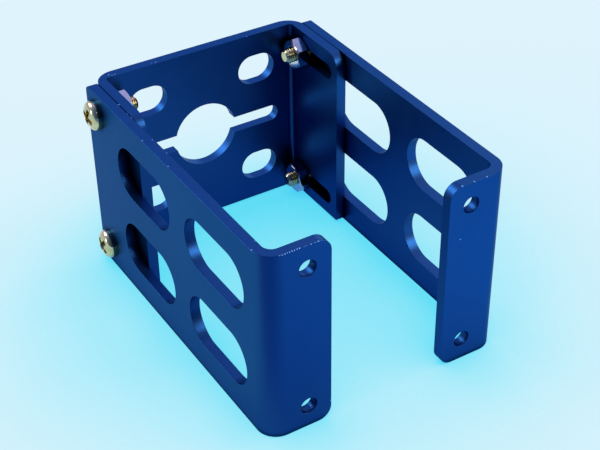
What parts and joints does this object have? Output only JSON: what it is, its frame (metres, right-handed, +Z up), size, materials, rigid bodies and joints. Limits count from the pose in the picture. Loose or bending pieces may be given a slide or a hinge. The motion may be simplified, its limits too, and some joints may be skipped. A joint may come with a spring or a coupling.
{
  "type": "sheet aluminium device holder",
  "caption": "Open holder of folded blue aluminium plates: two windowed arms with inward front flanges, bolted to a back channel with a round bore and slots.",
  "frame": {"origin": "on the surface the holder stands on, in the middle of its width and depth", "axes": "+X to the right across the holder, +Y from the front flanges to the back web, +Z up"},
  "size_m": [0.052, 0.0654, 0.038],
  "materials": {
    "blue_anodised": "satin deep blue anodising over machined and folded sheet",
    "screw_steel": "bright nickel plate",
    "nut_steel": "bright zinc plate"
  },
  "bodies": {
    "root": {"back_channel": "blue_anodised", "left_arm": "blue_anodised", "right_arm": "blue_anodised", "left_upper_screw": "screw_steel", "left_upper_nut": "nut_steel", "left_lower_screw": "screw_steel", "left_lower_nut": "nut_steel", "right_upper_screw": "screw_steel", "right_upper_nut": "nut_steel", "right_lower_screw": "screw_steel", "right_lower_nut": "nut_steel"}
  },
  "joints": []
}
